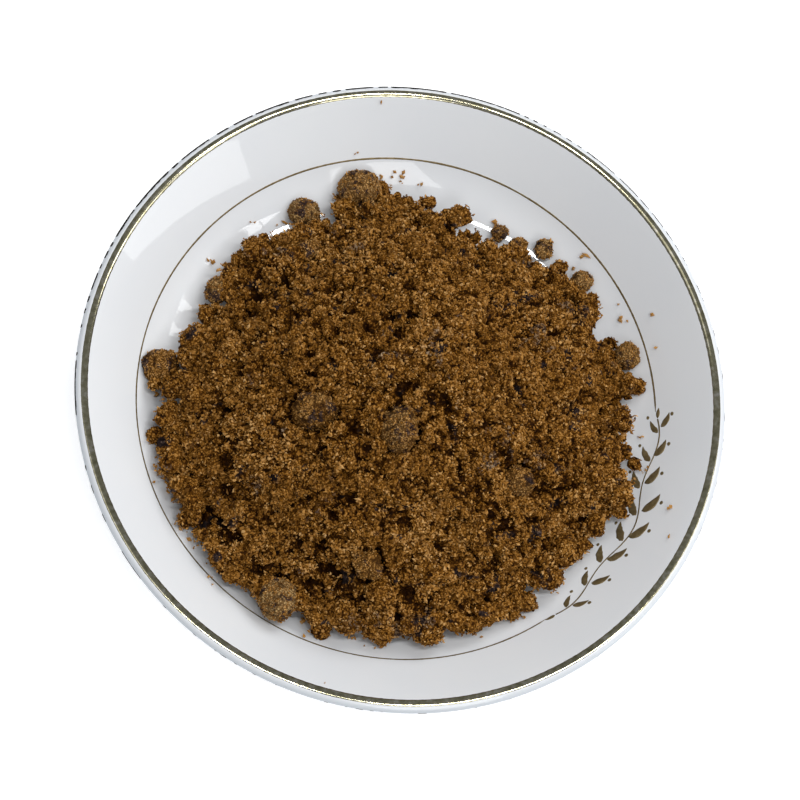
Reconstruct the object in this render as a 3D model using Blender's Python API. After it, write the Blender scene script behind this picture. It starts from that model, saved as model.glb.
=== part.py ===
"""A shallow white porcelain dish with a gilt rim, filled with a loose heap of
moist dark brown sugar and the hard lumps that have caked together in it.

Frame: metres, +Z up, origin at the centre of the foot's base plane.
"""
import math

import bmesh
import bpy
from mathutils import Vector, noise

MM = 0.001

# ---- dish ------------------------------------------------------------------
RIM_CREST_R = 88.0 * MM          # radius of the lip's highest circle
LIP_RADIUS = 2.4 * MM            # roundness of the lip
LIP_TOP_Z = 29.4 * MM            # height of the lip's highest circle
EDGE_RADIUS = 0.45 * MM          # roundness of the outermost edge
EDGE_START = math.radians(35)    # where the lip turns into that edge
EDGE_END = math.radians(-45)     # where the edge turns into the underside
WALL_SLOPE = math.radians(45)    # slope of the straight upper wall
FLOOR_Z = 8.0 * MM               # top of the flat floor
WELL_BEND = 27.0 * MM            # radius of the bend from floor to wall
FOOT_R = 50.5 * MM               # outer radius of the foot ring
FOOT_WIDTH = 3.6 * MM            # width of the foot ring at its root
FOOT_FLAT = 2.2 * MM             # width of the ring's flat underside
FOOT_BEVEL = 0.7 * MM            # height of the bevels beside that flat
BASE_Z = 3.8 * MM                # underside of the floor inside the ring
OUTER_BEND = 25.0 * MM           # radius of the bend under the wall
OUTER_FOOT_Z = 3.0 * MM          # where the outside meets the foot ring
DISH_SEGMENTS = 72
BEND_STEPS = 5
LIP_STEPS = 3
EDGE_STEPS = 2

# ---- sugar heap --------------------------------------------------------------
GAP = 0.3 * MM                   # air left between touching solids
HEAP_CENTRE = (-1.5 * MM, -3.0 * MM)
HEAP_RADIUS = 66.0 * MM
HEAP_TOP_Z = 39.5 * MM
SUMMIT_SHIFT = (-1.0 * MM, -2.0 * MM)
DOME_POWER = 1.55                # below 2 the crown is pointed, not round
BANK_POWER = 0.85                # below 1 the crumbly edge rises steeply
RELIEF = ((24.0 * MM, 1.5 * MM), (9.0 * MM, 0.75 * MM))   # (wavelength, height)
SCALLOP = (9.0 * MM, 1.0 * MM)   # the same for the outline's unevenness
HEAP_SEGMENTS = 64
HEAP_RINGS = 16
BOTTOM_RINGS = 5

# Bulges (+) and bays (-) of the outline: bearing, half width, depth.
LOBES = (
    (6, 7, 4.5), (28, 9, 2.5), (52, 9, -2.5), (76, 6, 1.5), (90, 8, 2.0),
    (110, 6, -2.5), (152, 12, -4.5), (176, 7, 4.0), (200, 6, 1.5), (222, 16, 2.5),
    (278, 5, 1.0), (305, 8, -1.0), (342, 12, 6.0),
)

# Caked lumps: name, place (x, y), radius, stretch along x, y and z, rise of
# the centre over the surface in radii. All lengths in millimetres.
LUMPS = (
    ("lump_back", -9.5, 63.5, 6.1, (1.05, 0.92, 0.95), 0.55),
    ("lump_back_left", -26.0, 57.0, 4.6, (1.0, 1.0, 0.9), 0.45),
    ("lump_back_inner", -26.0, 42.0, 3.1, (0.9, 1.15, 0.95), 0.25),
    ("lump_right", 66.0, 15.0, 4.0, (0.95, 1.05, 0.9), 0.6),
    ("lump_front_left", -35.0, -57.5, 5.4, (0.95, 1.05, 0.9), 0.5),
    ("lump_left", -67.0, 9.0, 5.3, (1.0, 0.95, 0.8), 0.4),
    ("lump_summit", -3.0, -15.0, 5.4, (0.85, 1.15, 0.9), 0.25),
    ("lump_shoulder", -26.0, -9.0, 5.4, (1.15, 0.9, 0.7), 0.1),
    ("lump_slope", 31.0, -26.0, 4.4, (1.0, 0.9, 0.8), 0.2),
    ("lump_front", -11.0, -50.0, 4.0, (1.05, 0.9, 0.8), 0.2),
    ("lump_far_left", -51.0, 31.5, 3.4, (0.95, 1.1, 0.9), 0.5),
    ("crumb_far_right", 54.0, 38.0, 3.1, (1.0, 0.95, 0.9), 0.85),
    ("crumb_far", 43.5, 48.0, 2.8, (1.0, 1.05, 0.9), 0.85),
    ("crumb_far_grey", 36.5, 49.0, 2.6, (1.15, 0.85, 0.85), 0.7),
    ("crumb_far_dark", 31.0, 53.0, 2.2, (1.05, 0.95, 0.95), 0.85),
)
BIG_LUMP = 5.0                   # lumps from this radius on get a finer mesh

# ---- colours (linear) ----------------------------------------------------------
PORCELAIN = (0.72, 0.74, 0.76, 1.0)
SUGAR = (0.105, 0.042, 0.010, 1.0)
CAKED_SUGAR = (0.085, 0.043, 0.018, 1.0)


def clear_scene():
    for obj in list(bpy.data.objects):
        bpy.data.objects.remove(obj, do_unlink=True)


def material(name, colour, roughness, metallic=0.0):
    made = bpy.data.materials.new(name)
    made.use_nodes = True
    shader = made.node_tree.nodes["Principled BSDF"]
    shader.inputs["Base Color"].default_value = colour
    shader.inputs["Roughness"].default_value = roughness
    shader.inputs["Metallic"].default_value = metallic
    return made


def add_object(name, mesh, made):
    obj = bpy.data.objects.new(name, mesh)
    bpy.context.scene.collection.objects.link(obj)
    mesh.materials.append(made)
    return obj


def arc(centre, radius, start, end, steps):
    """Points of a circular arc in the (r, z) plane, both ends included."""
    turn = (end - start) / steps
    return [(centre[0] + radius * math.cos(start + turn * i),
             centre[1] + radius * math.sin(start + turn * i))
            for i in range(steps + 1)]


# ---- dish ------------------------------------------------------------------------
LIP_CENTRE = (RIM_CREST_R, LIP_TOP_Z - LIP_RADIUS)
WALL_NORMAL = WALL_SLOPE + math.pi / 2          # the upper wall faces up and in
WALL_TOP = (LIP_CENTRE[0] + LIP_RADIUS * math.cos(WALL_NORMAL),
            LIP_CENTRE[1] + LIP_RADIUS * math.sin(WALL_NORMAL))
WALL_FOOT_R = WALL_TOP[0] - (WALL_TOP[1] - FLOOR_Z) / math.tan(WALL_SLOPE)
FLOOR_R = WALL_FOOT_R - WELL_BEND * math.tan(WALL_SLOPE / 2)
BEND_END_R = FLOOR_R + WELL_BEND * math.sin(WALL_SLOPE)


def well_z(radius):
    """Height of the dish's upper surface at a distance from its axis."""
    if radius <= FLOOR_R:
        return FLOOR_Z
    if radius <= BEND_END_R:
        drop = math.sqrt(WELL_BEND ** 2 - (radius - FLOOR_R) ** 2)
        return FLOOR_Z + WELL_BEND - drop
    return WALL_TOP[1] + (radius - WALL_TOP[0]) * math.tan(WALL_SLOPE)


def well_normal(radius):
    """The upper surface's normal there, as (outward, up)."""
    if radius <= FLOOR_R:
        tilt = 0.0
    elif radius <= BEND_END_R:
        tilt = math.asin((radius - FLOOR_R) / WELL_BEND)
    else:
        tilt = WALL_SLOPE
    return -math.sin(tilt), math.cos(tilt)


def dish_outside():
    """Underside from the lip's edge to the axis, as (r, z) points."""
    edge_reach = LIP_RADIUS - EDGE_RADIUS
    edge_centre = (LIP_CENTRE[0] + edge_reach * math.cos(EDGE_START),
                   LIP_CENTRE[1] + edge_reach * math.sin(EDGE_START))
    edge = arc(edge_centre, EDGE_RADIUS, EDGE_START, EDGE_END, EDGE_STEPS)
    under = edge[-1]
    # The outer wall runs down from the edge at the wall's own slope, then bends
    # until it lies level where the foot ring starts.
    wall_foot_r = under[0] - (under[1] - OUTER_FOOT_Z) / math.tan(WALL_SLOPE)
    bend_r = wall_foot_r - OUTER_BEND * math.tan(WALL_SLOPE / 2)
    bend = arc((bend_r, OUTER_FOOT_Z + OUTER_BEND), OUTER_BEND,
               WALL_SLOPE - math.pi / 2, -math.pi / 2, BEND_STEPS)
    bevel = (FOOT_WIDTH - FOOT_FLAT) / 2
    foot = [(FOOT_R, OUTER_FOOT_Z), (FOOT_R, FOOT_BEVEL), (FOOT_R - bevel, 0.0),
            (FOOT_R - bevel - FOOT_FLAT, 0.0), (FOOT_R - FOOT_WIDTH, FOOT_BEVEL),
            (FOOT_R - FOOT_WIDTH, BASE_Z)]
    return edge[1:] + bend + foot + [(0.0, BASE_Z)]


def dish_inside():
    """Upper side from the lip's edge to the axis, as (r, z) points."""
    lip = arc(LIP_CENTRE, LIP_RADIUS, EDGE_START, WALL_NORMAL, LIP_STEPS)
    bend = arc((FLOOR_R, FLOOR_Z + WELL_BEND), WELL_BEND,
               WALL_SLOPE - math.pi / 2, -math.pi / 2, BEND_STEPS)
    return lip + bend + [(0.0, FLOOR_Z)]


def turned(name, outline, segments):
    """A closed turned solid from an outline that starts and ends on the axis."""
    mesh = bpy.data.meshes.new(name)
    shape = bmesh.new()
    verts = [shape.verts.new((r, 0.0, z)) for r, z in outline]
    edges = [shape.edges.new(pair) for pair in zip(verts, verts[1:])]
    bmesh.ops.spin(shape, geom=verts + edges, cent=(0, 0, 0), axis=(0, 0, 1),
                   angle=2 * math.pi, steps=segments, use_merge=True)
    bmesh.ops.remove_doubles(shape, verts=shape.verts, dist=1e-6)
    bmesh.ops.recalc_face_normals(shape, faces=shape.faces)
    shape.to_mesh(mesh)
    shape.free()
    return mesh


def make_dish(made):
    outline = dish_outside()[::-1] + dish_inside()
    mesh = turned("dish", outline, DISH_SEGMENTS)
    dish = add_object("dish", mesh, made)
    mesh.shade_smooth()
    mesh.set_sharp_from_angle(angle=math.radians(30))
    return dish


# ---- sugar heap ---------------------------------------------------------------------
def ripple(x, y, wavelength, height, layer):
    """Smooth uneven relief of about the given wavelength and height."""
    spot = Vector((x / wavelength, y / wavelength, layer * 7.3))
    return 2.0 * height * noise.noise(spot)


def outline_radius(bearing):
    """Distance from the heap's centre to its edge, at a bearing in radians."""
    reach = HEAP_RADIUS
    for middle, half_width, depth in LOBES:
        apart = math.remainder(math.degrees(bearing) - middle, 360.0)
        reach += depth * MM * math.exp(-(apart / half_width) ** 2)
    wavelength, height = SCALLOP
    return reach + ripple(HEAP_RADIUS * math.cos(bearing), HEAP_RADIUS * math.sin(bearing),
                          wavelength, height, 3)


def plan_point(bearing, share):
    """A point of the heap's plan, a share of the way from its centre to its edge."""
    # Towards the crown the lobes fade, so that they leave no ridges there.
    reach = share * (HEAP_RADIUS + (outline_radius(bearing) - HEAP_RADIUS) * share ** 2)
    slide = (1.0 - share) ** 2
    return (HEAP_CENTRE[0] + SUMMIT_SHIFT[0] * slide + reach * math.cos(bearing),
            HEAP_CENTRE[1] + SUMMIT_SHIFT[1] * slide + reach * math.sin(bearing))


def bed_point(x, y):
    """The point GAP above the dish's upper surface, over its point at (x, y)."""
    radius = math.hypot(x, y)
    out, up = well_normal(radius)
    inset = GAP * out / radius if radius > 0 else 0.0
    return Vector((x * (1 + inset), y * (1 + inset), well_z(radius) + GAP * up))


def top_point(bearing, share):
    """A point of the heap's crumbly upper surface."""
    x, y = plan_point(bearing, share)
    edge = bed_point(*plan_point(bearing, 1.0))
    lift = (1.0 - share ** DOME_POWER) ** BANK_POWER
    uneven = sum(ripple(x, y, length, height, layer)
                 for layer, (length, height) in enumerate(RELIEF))
    calm_edge = min(1.0, (1.0 - share) * 8.0)
    return Vector((x, y, edge.z + (HEAP_TOP_Z - edge.z) * lift + uneven * calm_edge))


def ring_shares(rings):
    """Shares of the radius from the first ring to the edge, closer near the edge."""
    return [math.sin(0.5 * math.pi * i / rings) for i in range(1, rings + 1)]


def make_heap(made):
    bearings = [2 * math.pi * i / HEAP_SEGMENTS for i in range(HEAP_SEGMENTS)]
    shape = bmesh.new()
    crown = shape.verts.new(top_point(0.0, 0.0))
    base = shape.verts.new(bed_point(*plan_point(0.0, 0.0)))
    edge = [shape.verts.new(bed_point(*plan_point(b, 1.0))) for b in bearings]
    top = [[shape.verts.new(top_point(b, share)) for b in bearings]
           for share in ring_shares(HEAP_RINGS)[:-1]] + [edge]
    bottom = [[shape.verts.new(bed_point(*plan_point(b, share))) for b in bearings]
              for share in ring_shares(BOTTOM_RINGS)[:-1]] + [edge]
    for tip, rings, upward in ((crown, top, True), (base, bottom, False)):
        for i in range(HEAP_SEGMENTS):
            j = (i + 1) % HEAP_SEGMENTS
            faces = [(tip, rings[0][i], rings[0][j])]
            for inner, outer in zip(rings, rings[1:]):
                faces.append((inner[i], outer[i], outer[j]))
                faces.append((inner[i], outer[j], inner[j]))
            for face in faces:
                shape.faces.new(face if upward else face[::-1])
    mesh = bpy.data.meshes.new("sugar_heap")
    shape.to_mesh(mesh)
    shape.free()
    mesh.shade_smooth()
    return add_object("sugar_heap", mesh, made)


# ---- caked lumps ----------------------------------------------------------------------
def heap_z(x, y):
    """Height of the heap's surface at (x, y), or of the bare dish beyond it."""
    bearing = math.atan2(y - HEAP_CENTRE[1], x - HEAP_CENTRE[0])
    share = math.hypot(x - HEAP_CENTRE[0], y - HEAP_CENTRE[1]) / outline_radius(bearing)
    if share >= 1.0:
        return well_z(math.hypot(x, y))
    return top_point(bearing, share).z


def lump_mesh(name, place, radius, stretch, rise, seed, swell):
    """A knobbly closed lump, grown outwards by swell to make a cutter."""
    shape = bmesh.new()
    fineness = 3 if radius >= BIG_LUMP * MM else 2
    bmesh.ops.create_icosphere(shape, subdivisions=fineness, radius=1.0)
    centre = Vector((place[0], place[1], heap_z(*place) + rise * radius))
    for vert in shape.verts:
        spot = vert.co + Vector((seed * 3.1, seed * 1.7, seed * 5.3))
        knob = 1.0 + 0.20 * noise.noise(spot * 1.4) + 0.10 * noise.noise(spot * 3.2)
        size = radius * knob + swell
        vert.co = centre + Vector([size * stretch[k] * vert.co[k] for k in range(3)])
        floor = bed_point(vert.co.x, vert.co.y)
        if swell == 0.0 and vert.co.z < floor.z:
            vert.co = floor
    bmesh.ops.recalc_face_normals(shape, faces=shape.faces)
    mesh = bpy.data.meshes.new(name)
    shape.to_mesh(mesh)
    shape.free()
    mesh.shade_smooth()
    return mesh


def make_lumps(made, heap):
    """The lumps, and a clearance cut round each one in the heap."""
    for seed, (name, x, y, radius, stretch, rise) in enumerate(LUMPS):
        place = (x * MM, y * MM)
        form = (place, radius * MM, stretch, rise, seed)
        add_object(name, lump_mesh(name, *form, 0.0), made)
        cutter = add_object(name + "_clearance",
                            lump_mesh(name + "_clearance", *form, 1.5 * GAP), made)
        cutter.hide_render = True
        cutter.display_type = "WIRE"
        cut = heap.modifiers.new(name, "BOOLEAN")
        cut.operation = "DIFFERENCE"
        cut.solver = "EXACT"
        cut.object = cutter


def main():
    clear_scene()
    make_dish(material("porcelain", PORCELAIN, 0.15))
    heap = make_heap(material("brown_sugar", SUGAR, 0.85))
    make_lumps(material("caked_sugar", CAKED_SUGAR, 0.9), heap)


main()
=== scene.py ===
"""The looks of a white porcelain dish with gilt lines, heaped with moist brown
sugar: crumbs and grains over a crumbly core, and the lumps caked in it.

Lengths are in metres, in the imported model's frame: +Z up, the foot on Z = 0.
"""
import math

import bmesh
import bpy
import numpy as np
from mathutils import Matrix, Vector
from mathutils.bvhtree import BVHTree


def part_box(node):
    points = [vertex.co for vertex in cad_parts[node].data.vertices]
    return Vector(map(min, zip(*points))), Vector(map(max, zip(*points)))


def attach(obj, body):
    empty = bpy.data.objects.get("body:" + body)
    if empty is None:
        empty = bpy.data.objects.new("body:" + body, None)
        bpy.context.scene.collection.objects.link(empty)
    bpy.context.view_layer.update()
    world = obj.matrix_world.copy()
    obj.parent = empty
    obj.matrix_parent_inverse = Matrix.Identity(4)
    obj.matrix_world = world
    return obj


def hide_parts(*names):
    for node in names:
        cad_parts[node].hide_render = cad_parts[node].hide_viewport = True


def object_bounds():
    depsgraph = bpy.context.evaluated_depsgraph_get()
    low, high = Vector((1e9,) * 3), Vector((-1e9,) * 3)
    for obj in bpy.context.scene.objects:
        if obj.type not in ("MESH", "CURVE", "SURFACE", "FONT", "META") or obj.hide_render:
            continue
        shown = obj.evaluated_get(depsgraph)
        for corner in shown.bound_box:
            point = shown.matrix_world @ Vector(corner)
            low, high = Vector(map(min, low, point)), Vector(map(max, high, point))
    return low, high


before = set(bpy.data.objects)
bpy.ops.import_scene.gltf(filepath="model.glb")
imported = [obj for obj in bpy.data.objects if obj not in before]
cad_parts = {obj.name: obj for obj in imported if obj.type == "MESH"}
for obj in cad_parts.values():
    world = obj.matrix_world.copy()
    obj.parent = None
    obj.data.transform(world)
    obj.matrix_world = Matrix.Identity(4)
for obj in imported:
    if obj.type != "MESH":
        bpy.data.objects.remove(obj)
CAD_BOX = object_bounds()
MM = 0.001
BODY = "root"

# ---- dish ----
RIM_CREST_R = 88.0 * MM          # radius of the lip's highest circle
LIP_RADIUS = 2.4 * MM            # roundness of the lip
EDGE_RADIUS = 0.45 * MM          # roundness of the outermost edge
EDGE_START = math.radians(35)    # where the lip turns into that edge
EDGE_END = math.radians(-45)     # where the edge turns into the underside
WALL_SLOPE = math.radians(45)    # slope of the straight upper wall
FLOOR_Z = 8.0 * MM               # top of the flat floor
WELL_BEND = 27.0 * MM            # radius of the bend from floor to wall
FOOT_R = 50.5 * MM               # outer radius of the foot ring
FOOT_WIDTH = 3.6 * MM            # width of the foot ring at its root
FOOT_FLAT = 2.2 * MM             # width of the ring's flat underside
FOOT_BEVEL = 0.7 * MM            # height of the bevels beside that flat
BASE_Z = 3.8 * MM                # underside of the floor inside the ring
OUTER_BEND = 25.0 * MM           # radius of the bend under the wall
OUTER_FOOT_Z = 3.0 * MM          # where the outside meets the foot ring
DISH_SEGMENTS = 200
LIP_TOP_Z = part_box("dish")[1].z

# ---- gilding ----
GILT_RISE = 0.035 * MM           # gilding stands this proud of the glaze
GILT_ROOT = 0.05 * MM            # and its back lies this deep in it
BAND_ANGLES = (77.5, 133.0)      # the band's edges on the lip's arc, in degrees
BAND_WAVER = 0.014               # waver of its edges, in radians
EDGE_GILT = (-20.0, 27.0, 60.0)  # the edge gilt's lower edge and its least and most upper edge
EDGE_GILT_STEP = 0.3             # degrees between its points
EDGE_GILT_LOST = 0.28            # it is worn through where less than this is left
EDGE_GILT_BEST = 98.0            # bearing at which it is broadest, in degrees
LINE_R = 73.2 * MM               # radius of the thin line in the well
LINE_WIDTH = 0.53 * MM
LINE_GAP = (-57.0, -1.5)         # bearings between which the ornament is, in degrees

# ---- heap ----
HEAP_CENTRE = (-1.5 * MM, -3.0 * MM)
HEAP_STEP = 0.5 * MM             # spacing of the height map
HEAP_SPAN = 80.0 * MM            # the map's half width
SINK = 2.0 * MM                  # how far the core lies under the CAD heap, less its relief
EDGE_INSET = 1.3 * MM            # and how far its edge lies inside the ragged edge
CORE_RINGS = 172
BED_GAP = 0.15 * MM              # air left between sugar and glaze


# ---- noise ----
LATTICE = 64
LATTICE_VALUES = np.random.default_rng(11).random((LATTICE,) * 3 + (3,))
CUBE = np.array([(x, y, z) for x in (0, 1) for y in (0, 1) for z in (0, 1)])
CLOD_REACH = 0.85                # a clod's radius, in sizes
NEIGHBOURS = np.array([(x, y, z) for x in (-1, 0, 1) for y in (-1, 0, 1)
                       for z in (-1, 0, 1)])


def lattice(cells):
    """Three random numbers for each cell of space."""
    at = cells % LATTICE
    return LATTICE_VALUES[at[..., 0], at[..., 1], at[..., 2]]


def waves(points, size, seed=0):
    """Smooth noise from -1 to 1, with swells of about the given size."""
    spot = points / size + 17.3 * seed
    cell = np.floor(spot).astype(int)
    share = spot - cell
    share = share * share * (3.0 - 2.0 * share)
    total = np.zeros(len(points))
    for corner in CUBE:
        weight = np.prod(np.where(corner, share, 1.0 - share), axis=1)
        total += weight * lattice(cell + corner)[:, 0]
    return 2.0 * total - 1.0


def clods(points, size, seed=0):
    """Distances to the nearest two of many specks strewn a size apart, in sizes."""
    spot = points / size + 31.7 * seed
    cell = np.floor(spot).astype(int)
    first = np.full(len(points), 9.0)
    second = first.copy()
    for corner in NEIGHBOURS:
        at = cell + corner
        away = np.linalg.norm(at + lattice(at) - spot, axis=1)
        second = np.minimum(second, np.maximum(first, away))
        first = np.minimum(first, away)
    return first, second


def dome(first):
    """From 1 over a clod's speck down to 0 at its edge, by the distance in sizes."""
    return np.sqrt(np.clip(1.0 - (first / CLOD_REACH) ** 2, 0.0, 1.0))


def smooth_step(value, low, high):
    share = np.clip((value - low) / (high - low), 0.0, 1.0)
    return share * share * (3.0 - 2.0 * share)


# ---- meshes ----
def unit(vectors):
    """Vectors of length 1 in the same directions."""
    return vectors / np.linalg.norm(vectors, axis=-1)[..., None]


def about_axis(radius, bearing, z):
    """Points by their distance from the dish's axis, bearing round it and height."""
    return np.stack([radius * np.cos(bearing), radius * np.sin(bearing), z], -1)


def add_piece(name, verts, faces, finish, slot, smooth=True):
    """A piece of the object from arrays of points and of faces with equal corners."""
    corners = faces.shape[1]
    mesh = bpy.data.meshes.new(name)
    mesh.vertices.add(len(verts))
    mesh.vertices.foreach_set("co", verts.astype(np.float32).ravel())
    mesh.loops.add(faces.size)
    mesh.loops.foreach_set("vertex_index", faces.astype(np.int32).ravel())
    mesh.polygons.add(len(faces))
    mesh.polygons.foreach_set("loop_start", np.arange(0, faces.size, corners, dtype=np.int32))
    mesh.update(calc_edges=True)
    mesh.polygons.foreach_set("use_smooth", np.full(len(faces), smooth))
    mesh.materials.append(finish)
    piece = bpy.data.objects.new(name, mesh)
    bpy.context.scene.collection.objects.link(piece)
    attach(piece, BODY)
    return piece


def facing_out(verts, faces):
    """The faces of a closed skin of triangles, turned so that they face outwards."""
    a, b, c = (verts[faces[:, k]] for k in range(3))
    volume = (a * np.cross(b, c)).sum()
    return faces if volume > 0.0 else faces[:, ::-1]


def skin(loops, closed):
    """Points and triangles over a row of loops. An open row gets a cap at each end."""
    count, around = loops.shape[:2]
    verts = loops.reshape(-1, 3)
    i = np.arange(count if closed else count - 1)[:, None]
    j = np.arange(around)[None, :]
    after = (j + 1) % around
    here, there = i * around, (i + 1) % count * around
    faces = [np.stack([here + j, here + after, there + after], -1).reshape(-1, 3),
             np.stack([here + j, there + after, there + j], -1).reshape(-1, 3)]
    if not closed:
        ring, after = j[0], after[0]
        end = (count - 1) * around
        faces.append(np.stack([after, ring, np.full(around, len(verts))], -1))
        faces.append(np.stack([end + ring, end + after, np.full(around, len(verts) + 1)], -1))
        verts = np.concatenate([verts, loops[[0, -1]].mean(1)])
    faces = np.concatenate(faces)
    return verts, facing_out(verts, faces)


def joined(parts):
    """One pair of arrays from several (points, faces) pairs."""
    starts = np.cumsum([0] + [len(verts) for verts, _ in parts])
    return (np.concatenate([verts for verts, _ in parts]),
            np.concatenate([faces + start for (_, faces), start in zip(parts, starts)]))


def add_values(mesh, name, values):
    """A number at each point of a mesh, which its material reads by name."""
    layer = mesh.attributes.new(name, "FLOAT", "POINT")
    layer.data.foreach_set("value", values.astype(np.float32))


def add_map(mesh, places):
    """A UV map from one place for each corner of the mesh."""
    layer = mesh.uv_layers.new(name="OFBake")
    layer.uv.foreach_set("vector", places.astype(np.float32).ravel())


def icosphere(fineness):
    """Points and triangles of a ball of radius 1."""
    shape = bmesh.new()
    bmesh.ops.create_icosphere(shape, subdivisions=fineness, radius=1.0)
    verts = np.array([v.co[:] for v in shape.verts])
    faces = np.array([[v.index for v in f.verts] for f in shape.faces])
    shape.free()
    return unit(verts), faces


# ---- materials ----
class Finish:
    """A material with one Principled shader, and short ways to wire its nodes."""

    def __init__(self, name, **sockets):
        self.material = bpy.data.materials.new(name)
        self.material.use_nodes = True
        self.tree = self.material.node_tree
        self.shader = self.tree.nodes["Principled BSDF"]
        names = {socket.name.lower(): socket for socket in self.shader.inputs}
        for name, value in sockets.items():
            names[name.replace("_", " ").lower()].default_value = value

    def node(self, kind, **settings):
        made = self.tree.nodes.new(kind)
        for name, value in settings.items():
            setattr(made, name, value)
        return made

    def link(self, source, target):
        self.tree.links.new(source, target)

    def feed(self, socket, source):
        self.link(source, self.shader.inputs[socket])

    def place(self):
        """The point on the object, in its own frame."""
        return self.node("ShaderNodeTexCoord").outputs["Object"]

    def value(self, name):
        """A number that the mesh holds under this name."""
        return self.node("ShaderNodeAttribute", attribute_name=name).outputs["Fac"]

    def noise(self, size, detail=3.0, roughness=0.5, place=None):
        """Cloudy noise from 0 to 1 with swells of about the given size."""
        made = self.node("ShaderNodeTexNoise")
        made.inputs["Scale"].default_value = 1.0 / size
        made.inputs["Detail"].default_value = detail
        made.inputs["Roughness"].default_value = roughness
        self.link(place or self.place(), made.inputs["Vector"])
        return made.outputs["Fac"]

    def height(self, vector):
        """The vector's Z."""
        split = self.node("ShaderNodeSeparateXYZ")
        self.link(vector, split.inputs["Vector"])
        return split.outputs["Z"]

    def bent(self, size, amount):
        """The point on the object, pushed about by noise with swells of the given size."""
        noise = self.node("ShaderNodeTexNoise")
        noise.inputs["Scale"].default_value = 1.0 / size
        self.link(self.place(), noise.inputs["Vector"])
        push = self.node("ShaderNodeVectorMath", operation="MULTIPLY_ADD")
        self.link(noise.outputs["Color"], push.inputs[0])
        push.inputs[1].default_value = (amount,) * 3
        self.link(self.place(), push.inputs[2])
        return push.outputs["Vector"]

    def crystals(self, size):
        """Crystals of about the given size, packed: 1 in each one's middle and 0 between
        them, and a random number for each one."""
        made = self.node("ShaderNodeTexVoronoi")
        made.inputs["Scale"].default_value = 1.0 / size
        self.link(self.bent(1.8 * size, 1.1 * size), made.inputs["Vector"])
        split = self.node("ShaderNodeSeparateColor")
        self.link(made.outputs["Color"], split.inputs["Color"])
        return self.span(made.outputs["Distance"], 0.12, 0.62, 1.0, 0.0), split.outputs["Red"]

    def ramp(self, source, stops):
        """A colour for each number, from (place, (r, g, b)) stops."""
        made = self.node("ShaderNodeValToRGB")
        ends = made.color_ramp.elements
        for at, colour in stops[2:]:
            ends.new(at)
        for element, (at, colour) in zip(ends, stops):
            element.position = at
            element.color = (*colour, 1.0)
        self.link(source, made.inputs["Fac"])
        return made.outputs["Color"]

    def span(self, source, low, high, bottom=0.0, top=1.0):
        """The numbers from low to high spread over those from bottom to top."""
        made = self.node("ShaderNodeMapRange", clamp=True)
        for socket, value in zip(("From Min", "From Max", "To Min", "To Max"),
                                 (low, high, bottom, top)):
            made.inputs[socket].default_value = value
        self.link(source, made.inputs["Value"])
        return made.outputs["Result"]

    def mix(self, share, first, second):
        """The first colour where share is 0 and the second where it is 1."""
        made = self.node("ShaderNodeMix", data_type="RGBA")
        self.link(share, made.inputs["Factor"])
        for socket, colour in (("A", first), ("B", second)):
            target = [s for s in made.inputs if s.name == socket and s.type == "RGBA"][0]
            if isinstance(colour, tuple):
                target.default_value = (*colour, 1.0)
            else:
                self.link(colour, target)
        return [s for s in made.outputs if s.type == "RGBA"][0]

    def maths(self, operation, first, second):
        made = self.node("ShaderNodeMath", operation=operation)
        for socket, value in zip(made.inputs, (first, second)):
            if isinstance(value, (int, float)):
                socket.default_value = value
            else:
                self.link(value, socket)
        return made.outputs["Value"]

    def bump(self, height, depth):
        """A bump of the given depth from heights between 0 and 1."""
        made = self.node("ShaderNodeBump")
        made.inputs["Distance"].default_value = depth
        self.link(height, made.inputs["Height"])
        return made.outputs["Normal"]


def make_porcelain():
    """White glaze, a little cloudy and uneven, bare on the foot ring's flat, and with painted
    shade on the lip's outer slope and on the underside.
    """
    finish = Finish("porcelain_glaze")
    cloud = finish.span(finish.noise(38 * MM), 0.3, 0.7)
    glaze = finish.mix(cloud, (0.735, 0.752, 0.775), (0.765, 0.778, 0.792))
    # Over the rim the glaze is thinner, and the greyish body shows through.
    flat = finish.node("ShaderNodeVectorMath", operation="MULTIPLY")
    finish.link(finish.place(), flat.inputs[0])
    flat.inputs[1].default_value = (1.0, 1.0, 0.0)
    reach = finish.node("ShaderNodeVectorMath", operation="LENGTH")
    # Beyond the lip's crest, on its outer slope, the glaze is painted a darker blue-grey: painted
    # shade.
    finish.link(flat.outputs["Vector"], reach.inputs[0])
    painted_lip_shade = finish.span(reach.outputs["Value"], RIM_CREST_R + 0.4 * MM, RIM_CREST_R + 1.8 * MM)
    glaze = finish.mix(painted_lip_shade, glaze, (0.565, 0.60, 0.64))
    # The outside, where the surface faces down, is painted greyer all over: painted shade.
    facing = finish.height(finish.node("ShaderNodeTexCoord").outputs["Normal"])
    outside = finish.span(facing, 0.05, -0.25)
    glaze = finish.mix(outside, glaze, (0.50, 0.525, 0.56))
    bare = finish.span(finish.height(finish.place()), 0.75 * MM, 0.55 * MM)
    body = finish.ramp(finish.noise(1.2 * MM), ((0.3, (0.50, 0.46, 0.40)),
                                                (0.7, (0.66, 0.63, 0.57))))
    finish.feed("Base Color", finish.mix(bare, glaze, body))
    smear = finish.span(finish.noise(22 * MM, 5.0), 0.35, 0.7, 0.02, 0.05)
    finish.feed("Roughness", finish.maths("MAXIMUM", smear,
                                          finish.maths("MULTIPLY", bare, 0.6)))
    finish.feed("Normal", finish.bump(finish.noise(16 * MM, 1.0), 0.03 * MM))
    return finish.material


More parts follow.
